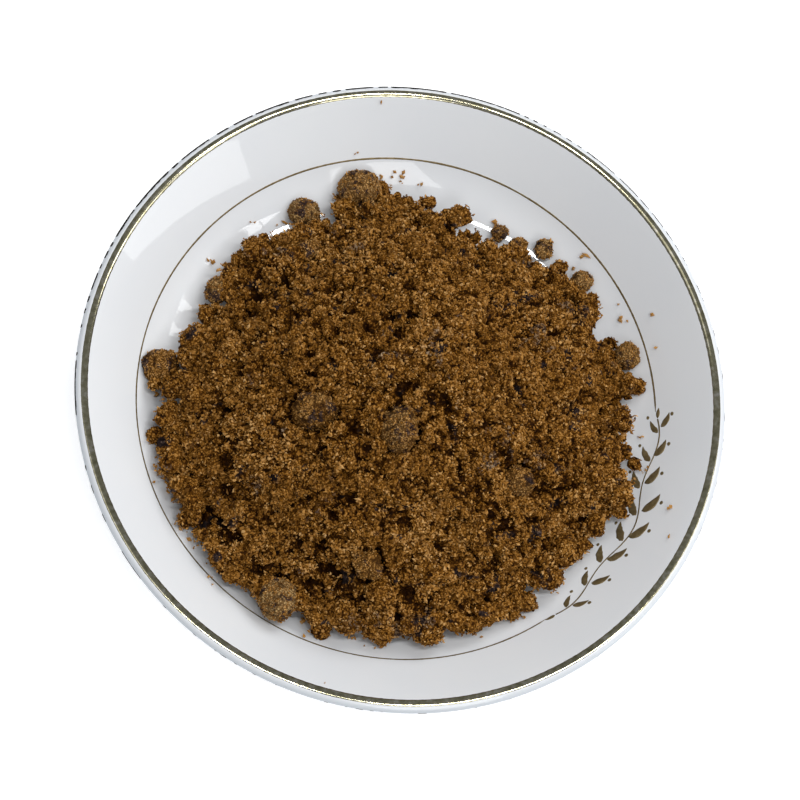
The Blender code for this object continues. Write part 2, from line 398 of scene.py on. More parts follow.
def make_gilt(name, worn, middling, bright, roughness, metallic=1.0):
    """Gold in one of the dish's tones, mottled with wear."""
    finish = Finish(name, metallic=metallic, specular_IOR_level=0.5 * metallic)
    mottle = finish.noise(1.6 * MM, 4.0, 0.6)
    colour = finish.ramp(mottle, ((0.30, worn), (0.52, middling), (0.76, bright)))
    fleck = finish.span(finish.noise(0.4 * MM, 2.0), 0.64, 0.76, 0.0, 0.3)
    finish.feed("Base Color", finish.mix(fleck, colour, worn))
    finish.feed("Roughness", finish.span(mottle, 0.3, 0.7, 1.25 * roughness, 0.8 * roughness))
    finish.feed("Normal", finish.bump(finish.noise(2.6 * MM, 1.0), 0.0016 * MM))
    return finish.material


def make_core_sugar():
    """Sugar behind the loose grains: crystal by crystal, with painted shade between the crystals,
    in the pores and where the relief is low.
    """
    finish = Finish("packed_sugar", roughness=0.6, specular_IOR_level=0.03)
    crystal, chance = finish.crystals(0.62 * MM)
    # Painted shade: the colour darkens in noisy pores, by the rise in cracks, holes and low
    # places, and between the crystals.
    painted_pore_shade = finish.span(finish.noise(1.5 * MM, 2.0), 0.38, 0.52, 0.35, 1.0)
    painted_depth_shade = finish.span(finish.value("rise"), 0.03, 0.42, 0.13, 1.0)
    crystal = finish.span(crystal, 0.0, 1.0, 0.25, 1.0)
    light = finish.maths("MULTIPLY", finish.maths("MULTIPLY", crystal, painted_pore_shade), painted_depth_shade)
    light = finish.maths("MULTIPLY", light, finish.span(chance, 0.0, 1.0, 0.75, 1.25))
    cloud = finish.span(finish.noise(8 * MM, 2.0), 0.35, 0.65, 0.8, 1.1)
    level = finish.maths("MULTIPLY", light, cloud)
    warm = finish.ramp(level, ((0.05, (0.010, 0.0028, 0.0002)), (0.20, (0.062, 0.022, 0.0022)),
                               (0.42, (0.212, 0.089, 0.0126)), (0.70, (0.35, 0.163, 0.034)),
                               (1.0, (0.49, 0.26, 0.082))))
    ashen = finish.ramp(level, ((0.05, (0.006, 0.004, 0.004)), (0.45, (0.035, 0.022, 0.019)),
                                (1.0, (0.13, 0.090, 0.068))))
    ash = finish.span(finish.noise(5.5 * MM, 2.0), 0.62, 0.68)
    finish.feed("Base Color", finish.mix(ash, warm, ashen))
    finish.feed("Normal", finish.bump(light, 0.3 * MM))
    return finish.material


def make_caked_sugar():
    """Hard caked sugar: fine-grained, brown to pale with dust, with purple-black pits, and painted
    shade between its crystals and in its crevices.
    """
    finish = Finish("caked_sugar", roughness=0.65, specular_IOR_level=0.06)
    crystal, chance = finish.crystals(0.5 * MM)
    # Painted shade: darker between the crystals and, by the rise, in crevices and pits.
    painted_depth_shade = finish.span(finish.value("rise"), 0.0, 0.45, 0.3, 1.0)
    light = finish.maths("MULTIPLY", finish.span(crystal, 0.0, 1.0, 0.25, 1.0), painted_depth_shade)
    level = finish.maths("MULTIPLY", light, finish.span(chance, 0.0, 1.0, 0.65, 1.2))
    brown = finish.ramp(level, ((0.05, (0.018, 0.006, 0.0008)), (0.35, (0.115, 0.050, 0.009)),
                                (0.65, (0.28, 0.135, 0.032)), (1.0, (0.47, 0.26, 0.085))))
    dusty = finish.ramp(level, ((0.05, (0.032, 0.017, 0.007)), (0.35, (0.185, 0.105, 0.039)),
                                (0.65, (0.40, 0.250, 0.100)), (1.0, (0.63, 0.45, 0.21))))
    golden = finish.mix(finish.value("dust"), brown, dusty)
    pitted = finish.ramp(level, ((0.05, (0.010, 0.005, 0.005)), (0.5, (0.055, 0.032, 0.024)),
                                 (1.0, (0.18, 0.115, 0.07))))
    pits = finish.span(finish.noise(3.6 * MM, 3.0, 0.6), 0.54, 0.60)
    finish.feed("Base Color", finish.mix(pits, golden, pitted))
    finish.feed("Normal", finish.bump(light, 0.22 * MM))
    return finish.material


def make_grain(name, stops, ashen, roughness):
    """Moist crystals: each grain has its own tone, and grey ones their own ash."""
    finish = Finish(name, roughness=roughness, specular_IOR_level=0.06)
    colour = finish.ramp(finish.value("tone"), stops)
    grey = finish.ramp(finish.value("tone"), ashen)
    finish.feed("Base Color", finish.mix(finish.value("ash"), colour, grey))
    return finish.material


# ---- dish ----
def arc(centre, radius, start, end, steps):
    """Points of a circular arc in the (r, z) plane, both ends included."""
    turn = (end - start) / steps
    return [(centre[0] + radius * math.cos(start + turn * i),
             centre[1] + radius * math.sin(start + turn * i))
            for i in range(steps + 1)]


def straight(start, end, steps):
    """Points between two (r, z) points, both ends left out."""
    return [(start[0] + (end[0] - start[0]) * i / steps,
             start[1] + (end[1] - start[1]) * i / steps) for i in range(1, steps)]


LIP_CENTRE = (RIM_CREST_R, LIP_TOP_Z - LIP_RADIUS)
WALL_NORMAL = WALL_SLOPE + math.pi / 2
WALL_TOP = (LIP_CENTRE[0] + LIP_RADIUS * math.cos(WALL_NORMAL),
            LIP_CENTRE[1] + LIP_RADIUS * math.sin(WALL_NORMAL))
WALL_FOOT_R = WALL_TOP[0] - (WALL_TOP[1] - FLOOR_Z) / math.tan(WALL_SLOPE)
FLOOR_R = WALL_FOOT_R - WELL_BEND * math.tan(WALL_SLOPE / 2)
BEND_END_R = FLOOR_R + WELL_BEND * math.sin(WALL_SLOPE)
EDGE_REACH = LIP_RADIUS - EDGE_RADIUS
EDGE_CENTRE = (LIP_CENTRE[0] + EDGE_REACH * math.cos(EDGE_START),
               LIP_CENTRE[1] + EDGE_REACH * math.sin(EDGE_START))


def well_z(radius):
    """Height of the dish's upper surface at distances from its axis."""
    radius = np.asarray(radius, float)
    bend = np.clip(radius - FLOOR_R, 0.0, BEND_END_R - FLOOR_R)
    curved = FLOOR_Z + WELL_BEND - np.sqrt(WELL_BEND ** 2 - bend ** 2)
    return curved + np.clip(radius - BEND_END_R, 0.0, None) * math.tan(WALL_SLOPE)


def well_tilt(radius):
    """How far the upper surface leans in towards the axis there, in radians."""
    bend = np.clip(np.asarray(radius, float) - FLOOR_R, 0.0, BEND_END_R - FLOOR_R)
    return np.arcsin(bend / WELL_BEND)


def dish_outline():
    """The dish's outline from its underside's centre, round the lip, to its floor's."""
    edge = arc(EDGE_CENTRE, EDGE_RADIUS, EDGE_START, EDGE_END, 8)
    under = edge[-1]
    wall_foot_r = under[0] - (under[1] - OUTER_FOOT_Z) / math.tan(WALL_SLOPE)
    bend_r = wall_foot_r - OUTER_BEND * math.tan(WALL_SLOPE / 2)
    bend = arc((bend_r, OUTER_FOOT_Z + OUTER_BEND), OUTER_BEND,
               WALL_SLOPE - math.pi / 2, -math.pi / 2, 10)
    bevel = (FOOT_WIDTH - FOOT_FLAT) / 2
    foot = [(FOOT_R, OUTER_FOOT_Z), (FOOT_R, FOOT_BEVEL), (FOOT_R - bevel, 0.0),
            (FOOT_R - bevel - FOOT_FLAT, 0.0), (FOOT_R - FOOT_WIDTH, FOOT_BEVEL),
            (FOOT_R - FOOT_WIDTH, BASE_Z)]
    outside = edge[1:] + straight(edge[-1], bend[0], 4) + bend + foot
    lip = arc(LIP_CENTRE, LIP_RADIUS, EDGE_START, WALL_NORMAL, 22)
    well = arc((FLOOR_R, FLOOR_Z + WELL_BEND), WELL_BEND,
               WALL_SLOPE - math.pi / 2, -math.pi / 2, 16)
    inside = lip + straight(lip[-1], well[0], 6) + well
    return outside[::-1] + inside


def circle(radius, z, segments):
    turn = 2 * math.pi * np.arange(segments) / segments
    return about_axis(radius, turn, np.full(segments, z))


def make_dish(finish):
    loops = np.stack([circle(r, z, DISH_SEGMENTS) for r, z in dish_outline()])
    dish = add_piece("porcelain_dish", *skin(loops, closed=False), finish, "porcelain")
    dish.data.set_sharp_from_angle(angle=math.radians(40))
    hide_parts("dish")


# ---- gilding ----
def rim_point(angle, bearing, rise):
    """A point over the rim, at an angle on its arcs and a bearing round the dish."""
    on_lip = angle >= EDGE_START
    reach = np.where(on_lip, LIP_RADIUS, EDGE_RADIUS) + rise
    r = np.where(on_lip, LIP_CENTRE[0], EDGE_CENTRE[0]) + reach * np.cos(angle)
    z = np.where(on_lip, LIP_CENTRE[1], EDGE_CENTRE[1]) + reach * np.sin(angle)
    return about_axis(r, bearing, z)


def wall_point(radius, bearing, rise):
    """A point over the dish's upper surface, by its distance from the axis."""
    tilt = well_tilt(radius)
    r = radius - rise * np.sin(tilt)
    z = well_z(radius) + rise * np.cos(tilt)
    return about_axis(r, bearing, z)


def painted(surface, bearings, low, high, steps, closed):
    """A thin stroke over a surface, from low to high across it at each bearing."""
    across = np.linspace(0.0, 1.0, steps)[None, :]
    at = low[:, None] + (high - low)[:, None] * across
    crown = GILT_RISE * np.sqrt(np.clip(1.0 - (2.0 * across - 1.0) ** 4, 0.0, 1.0))
    around = np.repeat(bearings[:, None], steps, axis=1)
    top = surface(at, around, crown - 0.2 * GILT_RISE)
    back = surface(at, around, np.full_like(at, -GILT_ROOT))[:, ::-1]
    return skin(np.concatenate([top, back], axis=1), closed)


def turn_points(bearings, radius):
    return about_axis(radius, bearings, np.zeros_like(bearings))


def make_band(finish):
    """The broad band on the lip, with a hand-painted waver at its edges."""
    bearings = np.radians(np.arange(0.0, 360.0, 1.0))
    spots = turn_points(bearings, RIM_CREST_R)
    low, high = (math.radians(edge) + BAND_WAVER * waves(spots, 4 * MM, seed)
                 for edge, seed in zip(BAND_ANGLES, (1, 2)))
    add_piece("rim_band", *painted(rim_point, bearings, low, high, 8, True), finish, "gilding")


def make_line(finish):
    """The thin line in the well, open where the ornament is."""
    bearings = np.radians(np.arange(LINE_GAP[1], LINE_GAP[0] + 360.01, 1.0))
    half = LINE_WIDTH / 2 * (1.0 + 0.12 * waves(turn_points(bearings, LINE_R), 4 * MM, 3))
    tip = np.minimum(np.arange(len(bearings)), np.arange(len(bearings))[::-1])
    half *= np.clip(0.3 + tip / 3.0, 0.0, 1.0)
    stroke = painted(wall_point, bearings, LINE_R - half, LINE_R + half, 5, False)
    add_piece("well_line", *stroke, finish, "gilding")


def make_hairline(finish):
    """What is left of the gilt on the outermost edge, worn through in many places."""
    bearings = np.radians(np.arange(0.0, 360.0, EDGE_GILT_STEP))
    spots = turn_points(bearings, RIM_CREST_R)
    # It is broadest, and has lasted best, on the far side.
    kept = (0.5 + 0.5 * np.cos(bearings - math.radians(EDGE_GILT_BEST))) ** 1.3
    wear = 0.75 * waves(spots, 1.3 * MM, 4) + 0.35 * waves(spots, 9 * MM, 5)
    low = np.full(len(bearings), math.radians(EDGE_GILT[0]))
    high = np.radians(EDGE_GILT[1] + (EDGE_GILT[2] - EDGE_GILT[1]) * kept + 7.0 * wear)
    lasting = np.append(0.62 * kept + 0.9 * wear > EDGE_GILT_LOST, False)
    strokes = []
    start = None
    for i, there in enumerate(lasting):
        if there and start is None:
            start = i
        if start is not None and not there:
            if i - start > 1:
                run = slice(start, i)
                strokes.append(painted(rim_point, bearings[run], low[run], high[run], 10, False))
            start = None
    add_piece("edge_hairline", *joined(strokes), finish, "gilding")


def brush(path, widths):
    """A stroke on the well's wall along (along, out) points, which start from the line.

    Along is measured round the line's circle and out up the slope, in metres."""
    path, widths = np.array(path), np.array(widths)
    ahead = np.gradient(path, axis=0)
    side = unit(np.stack([-ahead[:, 1], ahead[:, 0]], 1))
    across = np.linspace(-1.0, 1.0, 5)[None, :, None]
    flat = path[:, None] + side[:, None] * across * widths[:, None, None]
    bearing = flat[..., 0] / LINE_R
    radius = LINE_R + flat[..., 1] * np.cos(well_tilt(LINE_R))
    crown = GILT_RISE * (1.0 - 0.9 * across[..., 0] ** 2) * np.ones_like(radius)
    top = wall_point(radius, bearing, crown)
    back = wall_point(radius, bearing, np.full_like(radius, -GILT_ROOT))[:, ::-1]
    return skin(np.concatenate([top, back], axis=1), False)


def leaf(root, direction, length, width, curl):
    """A pointed leaf that bends by curl, in radians, along its length."""
    share = np.linspace(0.0, 1.0, 12)
    heading = direction + curl * share
    step = length / (len(share) - 1)
    path = np.array(root) + np.cumsum(
        np.stack([np.cos(heading), np.sin(heading)], 1) * step, axis=0)
    widths = width / 2 * np.sin(math.pi * share ** 0.75) ** 0.9 + 0.06 * MM
    return brush(path, widths)


def dot(place, radius):
    share = np.linspace(-0.98, 0.98, 9)
    path = np.array(place) + np.stack([share * radius, np.zeros(9)], 1)
    return brush(path, radius * np.sqrt(1.0 - share ** 2) + 0.02 * MM)


def make_ornament(finish):
    """A leafy spray that fills the gap in the thin line."""
    start, end = (math.radians(edge) * LINE_R for edge in LINE_GAP)
    length = end - start
    share = np.linspace(0.03, 0.97, 90)
    sway = 1.4 * MM * np.sin(2 * math.pi * 2.5 * share)
    stem = np.stack([start + length * share, sway], 1)
    strokes = [brush(stem, np.full(len(share), 0.25 * MM))]
    pairs = 8
    for i in range(pairs):
        at = (i + 0.7) / (pairs + 0.4)
        size = 1.0 - 0.45 * abs(2.0 * at - 1.0) ** 1.5
        root = (start + length * at, float(np.interp(at, share, sway)))
        for side in (-1.0, 1.0):
            offset = (root[0] + (1.2 * MM if side > 0 else -0.4 * MM), root[1])
            strokes.append(leaf(offset, side * math.radians(62), 7.2 * MM * size,
                                2.7 * MM * size, -side * math.radians(48)))
            berry = (root[0] + 4.6 * MM, root[1] + side * 6.0 * MM * size)
            strokes.append(dot(berry, 0.55 * MM))
    for tip, heading in ((stem[-1], 0.0), (stem[0], math.pi)):
        strokes.append(leaf(tip, heading, 3.0 * MM, 1.2 * MM, 0.3))
    add_piece("well_ornament", *joined(strokes), finish, "gilding")


# ---- heap's height map ----
def tree_of(node):
    """A tree of a CAD node's faces, to cast rays at."""
    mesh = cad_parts[node].data
    return BVHTree.FromPolygons([v.co for v in mesh.vertices],
                                [p.vertices[:] for p in mesh.polygons])


def struck(tree, x, y):
    """Where a ray straight down at x and y meets the tree's faces, or None."""
    above = Vector((x, y, CAD_BOX[1].z + 5 * MM))
    return tree.ray_cast(above, Vector((0, 0, -1)))[0]


def from_centre(reach, bearing):
    """The x and y at a distance and a bearing from the heap's centre."""
    return (HEAP_CENTRE[0] + reach * np.cos(bearing),
            HEAP_CENTRE[1] + reach * np.sin(bearing))


def heap_heights(tree):
    """Heights of the CAD heap over a square grid, and of the bare dish beyond it."""
    axis = np.arange(-HEAP_SPAN, HEAP_SPAN + HEAP_STEP / 2, HEAP_STEP)
    x, y = np.meshgrid(axis, axis, indexing="ij")
    heights = well_z(np.hypot(x, y))
    for i, east in enumerate(axis):
        for j, north in enumerate(axis):
            found = struck(tree, east, north)
            if found is not None:
                heights[i, j] = found.z
    return heights


def blurred(values, width):
    """A grid smoothed over about the given width."""
    rows, columns = (np.fft.fftfreq(n, HEAP_STEP) for n in values.shape)
    fade = np.exp(-2 * (math.pi * width) ** 2 * (rows[:, None] ** 2 + columns[None, :] ** 2))
    return np.fft.ifft2(np.fft.fft2(values) * fade).real


def read_grid(grid, x, y):
    """The grid's values at places between its points."""
    u = np.clip((x + HEAP_SPAN) / HEAP_STEP, 0, grid.shape[0] - 1.001)
    v = np.clip((y + HEAP_SPAN) / HEAP_STEP, 0, grid.shape[1] - 1.001)
    i, j = u.astype(int), v.astype(int)
    p, q = u - i, v - j
    return ((grid[i, j] * (1 - q) + grid[i, j + 1] * q) * (1 - p)
            + (grid[i + 1, j] * (1 - q) + grid[i + 1, j + 1] * q) * p)


def outline_table(tree):
    """The CAD heap's reach from its centre at every half degree of bearing."""
    reaches = []
    for bearing in np.radians(np.arange(0.0, 360.0, 0.5)):
        inside, outside = 50 * MM, 80 * MM
        for _ in range(10):
            middle = (inside + outside) / 2
            hit = struck(tree, *from_centre(middle, bearing)) is not None
            inside, outside = (middle, outside) if hit else (inside, middle)
        reaches.append(inside)
    return np.array(reaches)


# Bays in the ragged edge, and bulges of negative depth: bearing and half width in
# degrees, depth in millimetres.
BAYS = (
    (3, 2, 2.6), (-5, 2.5, 3.3), (22.5, 2.8, 9.2), (57, 2, 4.4), (62.5, 3.2, 8.0), (70, 3, 9.0),
    (77, 2, 7.5), (82, 2.5, 5.4), (85, 1.5, 1.6), (106, 2.5, 7.0), (120, 4, 4.8),
    (124.5, 2, 2.0), (133, 2, 2.0), (148, 2, 6.0), (157, 4, 2.2), (165, 1.5, 1.2),
    (172, 1.5, -2.6), (179, 2.3, 7.4), (-169, 3, -0.8), (-164, 2, -1.2), (-151, 2, 1.2),
    (-143, 4, 1.2), (-136, 2, -1.2), (-129, 3, 1.0), (-117, 2.5, 2.5), (-107, 2.5, -0.8),
    (-95, 3, -2.3), (-88, 4, 1.0), (-79, 2, 2.5), (-62, 3, -0.8), (-55, 1.5, 1.2),
    (-47, 2.5, 1.4), (-43.5, 3, 2.6), (-28, 3, 2.8), (-21, 1.5, -0.8), (-15.8, 2.8, 8.0),
)
RAGGED = ((6.0 * MM, 0.7 * MM), (2.8 * MM, 0.8 * MM))    # (length, height) of its notches
PULL_IN = 1.5 * MM               # how far it lies inside the CAD heap's edge


def ragged_edge(outline):
    """The outline with its bays and notches."""
    degrees = 0.5 * np.arange(len(outline))
    bearings = np.radians(degrees)
    ragged = outline - PULL_IN
    for length, height in RAGGED:
        ragged = ragged + height * waves(turn_points(bearings, outline.mean()), length, 22)
    for middle, half_width, depth in BAYS:
        apart = (degrees - middle + 180.0) % 360.0 - 180.0
        ragged = ragged - depth * MM * np.exp(-(apart / half_width) ** 2)
    return ragged


def read_outline(outline, bearings):
    """The outline's reach at bearings in radians."""
    at = np.degrees(bearings) % 360.0 / 0.5
    low = at.astype(int) % len(outline)
    share = at - np.floor(at)
    return outline[low] * (1 - share) + outline[(low + 1) % len(outline)] * share


def surface(grid, x, y):
    """Points of a height map, and the map's normals there."""
    reach = 1.0 * MM
    east = (read_grid(grid, x + reach, y) - read_grid(grid, x - reach, y)) / (2 * reach)
    north = (read_grid(grid, x, y + reach) - read_grid(grid, x, y - reach)) / (2 * reach)
    normals = unit(np.stack([-east, -north, np.ones_like(east)], 1))
    return np.stack([x, y, read_grid(grid, x, y)], 1), normals


def clear_of_dish(points):
    """The points, those under the glaze lifted to just over it."""
    lowest = well_z(np.hypot(points[:, 0], points[:, 1])) + BED_GAP
    return np.column_stack([points[:, :2], np.maximum(points[:, 2], lowest)])


# ---- core ----
# Clods that the sugar breaks into: size, height, share of it that is crack, seed.
CLODS = ((10.5 * MM, 2.0 * MM, 0.12, 1), (4.8 * MM, 1.7 * MM, 0.22, 2),
         (2.4 * MM, 1.0 * MM, 0.32, 3), (1.25 * MM, 0.45 * MM, 0.30, 10))
CAVITIES = (4.2 * MM, 1.6 * MM)  # spacing and depth of the holes between them
LUMPS = sorted(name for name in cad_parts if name.startswith("lump"))
GAP_WIDTH, GAP_DEPTH = 1.0 * MM, 1.9 * MM    # of the gaps round the lumps, which are painted dark with shade
GAP_EDGE = 0.05                  # a gap ends where it has come down to this share


def crumbly(points):
    """Heights of crumbly relief, and from 0 in its pores to 1 on its rises, by which the finishes
    paint shade.
    """
    bent = points + 1.2 * MM * np.stack([waves(points, 3.5 * MM, s) for s in (4, 5, 6)], 1)
    height = np.zeros(len(points))
    most = 0.0
    rise = np.ones(len(points))
    for size, amount, gape, seed in CLODS:
        first, second = clods(bent, size, seed)
        # The cracks between clods gape in some places and are shut in others.
        wide = gape * np.clip(0.75 + 0.9 * waves(points, 1.3 * size, seed + 40), 0.12, 1.6)
        closed = smooth_step((second - first) / wide, 0.1, 1.0)
        height += amount * dome(first) * (0.25 + 0.75 * closed)
        rise *= 0.36 + 0.64 * closed
        most += amount
    hole = smooth_step(waves(bent, CAVITIES[0], 9), 0.43, 0.68)
    low = smooth_step(height / most, 0.10, 0.55)
    # The rise is lowered in cracks, low places and holes, where the finishes paint shade.
    rise = rise * (0.5 + 0.5 * low) * (1.0 - 0.85 * hole)
    return height - CAVITIES[1] * hole, rise


def gaps(x, y):
    """From 0 to 1 in the narrow gaps round the lumps that are sunk in the heap."""
    total = np.zeros(len(x))
    for node in LUMPS:
        low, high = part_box(node)
        apart = np.hypot((2 * x - low.x - high.x) / (high.x - low.x),
                         (2 * y - low.y - high.y) / (high.y - low.y))
        gap = GAP_WIDTH * 2 / max(high.x - low.x, high.y - low.y)
        total = np.maximum(total, np.exp(-((apart - 1.0) / gap) ** 2))
    return total


def ring_grid(rings):
    """Bearings, shares of the reach and triangles of a disc of even triangles."""
    bearings, shares = [np.zeros(1)], [np.zeros(1)]
    faces = [(0, k + 1, (k + 1) % 6 + 1) for k in range(6)]
    start = 1
    for i in range(1, rings + 1):
        bearings.append(2 * math.pi * np.arange(6 * i) / (6 * i))
        shares.append(np.full(6 * i, i / rings))
        if i == rings:
            break
        after = start + 6 * i
        for sector in range(6):
            j = np.arange(i + 1)
            inner = start + (sector * i + j) % (6 * i)
            outer = after + (sector * (i + 1) + j) % (6 * (i + 1))
            outer_next = after + (sector * (i + 1) + j + 1) % (6 * (i + 1))
            faces.extend(zip(inner, outer, outer_next))
            faces.extend(zip(inner[:-1], outer_next[:-1], inner[1:]))
        start = after
    return np.concatenate(bearings), np.concatenate(shares), np.array(faces)


def make_core(finish, heights, outline):
    """The heap's crumbly body, a little smaller than the CAD heap."""
    bearings, shares, top_faces = ring_grid(CORE_RINGS)
    reach = shares * (read_outline(outline, bearings) - EDGE_INSET)
    x, y = from_centre(reach, bearings)
    base, normals = surface(heights, x, y)
    relief, rise = crumbly(base)
    gap = gaps(x, y)
    relief = relief - GAP_DEPTH * gap
    # Painted shade darkens the gaps round the lumps.
    rise = rise * (1.0 - 0.9 * gap)
    calm = smooth_step(1.0 - shares, 0.0, 0.03)
    verts = clear_of_dish(base + normals * ((relief - SINK) * calm)[:, None])
    # Underneath, it follows the dish's floor.
    rim = np.arange(len(verts) - 6 * CORE_RINGS, len(verts))
    under = []
    for share in (0.85, 0.4):
        ring = verts[rim] * share
        ring[:, 2] = well_z(np.hypot(ring[:, 0], ring[:, 1])) + BED_GAP
        under.append(ring)
    below = [rim] + [len(verts) + k * len(rim) + np.arange(len(rim)) for k in range(2)]
    middle = len(verts) + 2 * len(rim)
    faces = [top_faces]
    for outer, inner in zip(below, below[1:]):
        faces.append(np.stack([outer, inner, np.roll(outer, -1)], 1))
        faces.append(np.stack([np.roll(outer, -1), inner, np.roll(inner, -1)], 1))
    faces.append(np.stack([below[-1], np.full(len(rim), middle), np.roll(below[-1], -1)], 1))
    all_verts = np.concatenate([verts] + under + [[(0.0, 0.0, FLOOR_Z + BED_GAP)]])
    all_faces = np.concatenate(faces)
    rise = np.append(rise, np.zeros(len(all_verts) - len(rise)))
    core = add_piece("sugar_core", all_verts, all_faces, finish, "brown_sugar")
    add_values(core.data, "rise", rise)
    # Seen from above for the top. The underside, which nobody sees, has one corner.
    places = 0.5 + 0.49 * all_verts[:, :2] / HEAP_SPAN
    corner_places = places[all_faces]
    corner_places[len(top_faces):] *= 0.04
    add_map(core.data, corner_places.reshape(-1, 2))
    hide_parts("sugar_heap")
    return all_verts, top_faces, rise


# ---- crumbs ----
# Clumps that stand out: x, y, radius, rise of the centre over the surface in radii.
# Lengths in millimetres.
CLUMPS = (
    (6.5, -51, 3.0, 0.2), (52.5, -24, 2.8, 0.3), (43.5, -43.5, 3.8, 0.4),
    (33.5, -56, 3.2, 0.5), (49.5, -40, 2.5, 0.5), (-22.5, -64.4, 2.4, 0.5),
    (-67.4, -10.5, 2.4, 0.5), (-14.6, 61, 2.2, 0.7), (-3, 63.4, 2.6, 0.6),
    (65.6, -17.3, 1.9, 0.5), (-59, -35, 2.2, 0.5),
    (53.5, -34.5, 3.8, 0.4), (-16.5, -60, 2.9, 0.4), (-7.5, -56.5, 3.3, 0.3),
    (9.6, 59, 2.3, 0.6), (18.5, 55.4, 2.8, 0.5), (-38.5, 42.5, 2.9, 0.4),
    (68.9, 6, 2.8, 0.7), (48.3, 42.5, 2.3, 0.8), (56.6, 32.1, 1.7, 0.8),
    (-67.5, 2.8, 2.0, 0.6), (8, -65.8, 2.6, 0.5), (40, -49.5, 3.0, 0.5), (30, -59, 2.4, 0.5),
    (-50.2, -46, 2.4, 0.5), (61, -31, 2.2, 0.5), (-41.6, 44.6, 2.2, 0.3), (61.2, 19.4, 2.0, 0.5),
    (-5, -64.6, 2.6, 0.5),
    (-60, 2, 3.2, 0.3), (-64, -14, 3.4, 0.4), (-58, -27, 2.8, 0.4),
)
EDGE_CRUMB_STEP = 2.3 * MM
SURFACE_CRUMBS = 450
BIG_CRUMB = 2.0 * MM             # crumbs from this radius on get a finer mesh


def crumb_places(rng, heights, outline):
    """Centres and radii of the crumbs: the clumps, the ragged edge and the slopes."""
    spots = [(x * MM, y * MM) for x, y, _, _ in CLUMPS]
    radius = [size * MM for _, _, size, _ in CLUMPS]
    rise = [lift for _, _, _, lift in CLUMPS]
    bearing = 0.0
    while bearing < 2 * math.pi:
        reach = read_outline(outline, np.array([bearing]))[0]
        size = MM * float(np.clip(rng.lognormal(0.62, 0.32), 0.9, 3.4))
        out = reach - size * rng.uniform(0.7, 1.4)
        spots.append(from_centre(out, bearing))
        radius.append(size)
        rise.append(rng.uniform(0.25, 0.8))
        bearing += EDGE_CRUMB_STEP / reach * rng.uniform(0.5, 1.5)
    for _ in range(SURFACE_CRUMBS):
        turn = rng.uniform(0, 2 * math.pi)
        reach = read_outline(outline, np.array([turn]))[0]
        out = (reach - 3 * MM) * math.sqrt(rng.uniform(0, 1))
        spots.append(from_centre(out, turn))
        radius.append(MM * float(np.clip(rng.lognormal(0.35, 0.38), 0.8, 3.2)))
        rise.append(rng.uniform(-0.2, 0.45))
    x, y = np.array(spots).T
    # Crumbs of the slopes stay off the lumps' gaps.
    kept = (gaps(x, y) < GAP_EDGE) | (np.arange(len(x)) < len(x) - SURFACE_CRUMBS)
    x, y, radius, rise = (np.array(column)[kept] for column in (x, y, radius, rise))
    points, normals = surface(heights, x, y)
    return points + normals * (rise * radius)[:, None], radius


def knobbly(directions, centres, radii, rng, fine):
    """Points of lumps round their centres, with knobs and fine clods."""
    count, around = len(centres), len(directions)
    stretch = np.exp(rng.normal(0, 0.13, (count, 1, 3)))
    seeds = rng.uniform(0, 40, (count, 1, 3))
    spots = (directions[None] + seeds).reshape(-1, 3)
    knob = 1.0 + 0.24 * waves(spots, 0.75, 7) + 0.14 * waves(spots, 0.33, 8)
    shape = directions[None] * stretch * knob.reshape(count, around, 1)
    points = (centres[:, None] + shape * radii[:, None, None]).reshape(-1, 3)
    first, second = clods(points, fine, 9)
    # The rise, by which the finish paints shade, is low between the fine clods.
    rise = dome(first) * (0.35 + 0.65 * smooth_step(second - first, 0.0, 0.3))
    outward = unit(shape.reshape(-1, 3))
    return points + outward * (0.3 * fine * (rise - 0.6))[:, None], rise


def ball_map(directions, faces, cells, count):
    """Corner places on a map that gives each ball a cell: its top half beside its bottom."""
    side = math.ceil(math.sqrt(count))
    top = directions[faces].mean(1)[:, 2] >= 0.0
    flat = directions[faces][..., :2]
    half = np.where(top, 0.0, 0.5)[:, None]
    u = 0.25 + 0.22 * flat[..., 0] + half
    v = 0.5 + 0.45 * flat[..., 1]
    column, row = cells % side, cells // side
    u = (column[:, None, None] + u[None]) / side
    v = (row[:, None, None] + v[None]) / side
    return np.stack([u, v], -1).reshape(-1, 2)


def make_crumbs(finish, heights, outline):
    rng = np.random.default_rng(21)
    centres, radii = crumb_places(rng, heights, outline)
    parts, rises, places = [], [], []
    big = radii >= BIG_CRUMB
    for mine, fineness in ((big, 3), (~big, 2)):
        directions, ball = icosphere(fineness)
        verts, rise = knobbly(directions, centres[mine], radii[mine], rng, 1.5 * MM)
        starts = len(directions) * np.arange(mine.sum())
        parts.append((clear_of_dish(verts),
                      (ball[None] + starts[:, None, None]).reshape(-1, 3)))
        rises.append(rise)
        places.append(ball_map(directions, ball, np.flatnonzero(mine), len(radii)))
    verts, faces = joined(parts)
    rise = np.concatenate(rises)
    crumbs = add_piece("sugar_crumbs", verts, faces, finish, "brown_sugar")
    add_values(crumbs.data, "rise", rise)
    add_map(crumbs.data, np.concatenate(places))
    return verts, faces, rise


# ---- caked lumps ----
BIG_LUMP = 9.0 * MM              # lumps from this width on get a finer mesh
# Shares of pale dust on the lumps, by node. The others are as brown as the heap.
DUSTY = {"lump_front_left": 0.85, "lump_back": 0.55, "lump_back_left": 0.8,
         "lump_far_left": 0.6, "lump_right": 0.55, "crumb_far": 0.6, "crumb_far_right": 0.4,
         "lump_summit": 0.2}
# Lumps that are as crumbly as the heap they are sunk in.
LOOSE = ("lump_summit", "lump_shoulder", "lump_slope", "lump_front", "lump_back_inner")


